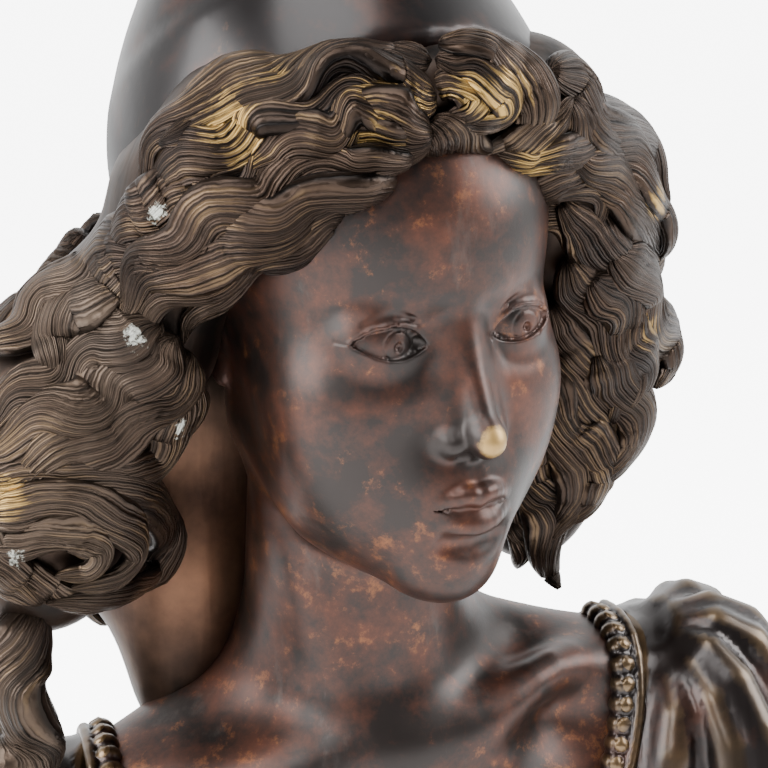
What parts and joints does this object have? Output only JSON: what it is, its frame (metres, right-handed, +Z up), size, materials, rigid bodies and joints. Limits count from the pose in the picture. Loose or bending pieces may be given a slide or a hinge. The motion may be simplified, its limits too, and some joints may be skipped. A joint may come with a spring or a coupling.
{
  "type": "bronze bust of a young woman in a phrygian cap",
  "caption": "Cast bronze bust of a young woman in a Phrygian cap, with long waving hair and a lace-edged blouse, cut flat below the breast to stand on a shelf.",
  "frame": {"origin": "on the flat underside of the bust, under the middle of the breast", "axes": "+Z up; -Y is where the breast faces; +X is towards her left shoulder"},
  "size_m": [0.3084, 0.1732, 0.4053],
  "materials": {
    "dark_bronze": "dark brown patina, rubbed to golden bronze on the crests of the hair"
  },
  "bodies": {
    "root": {"marianne_bust": "dark_bronze"}
  },
  "joints": []
}
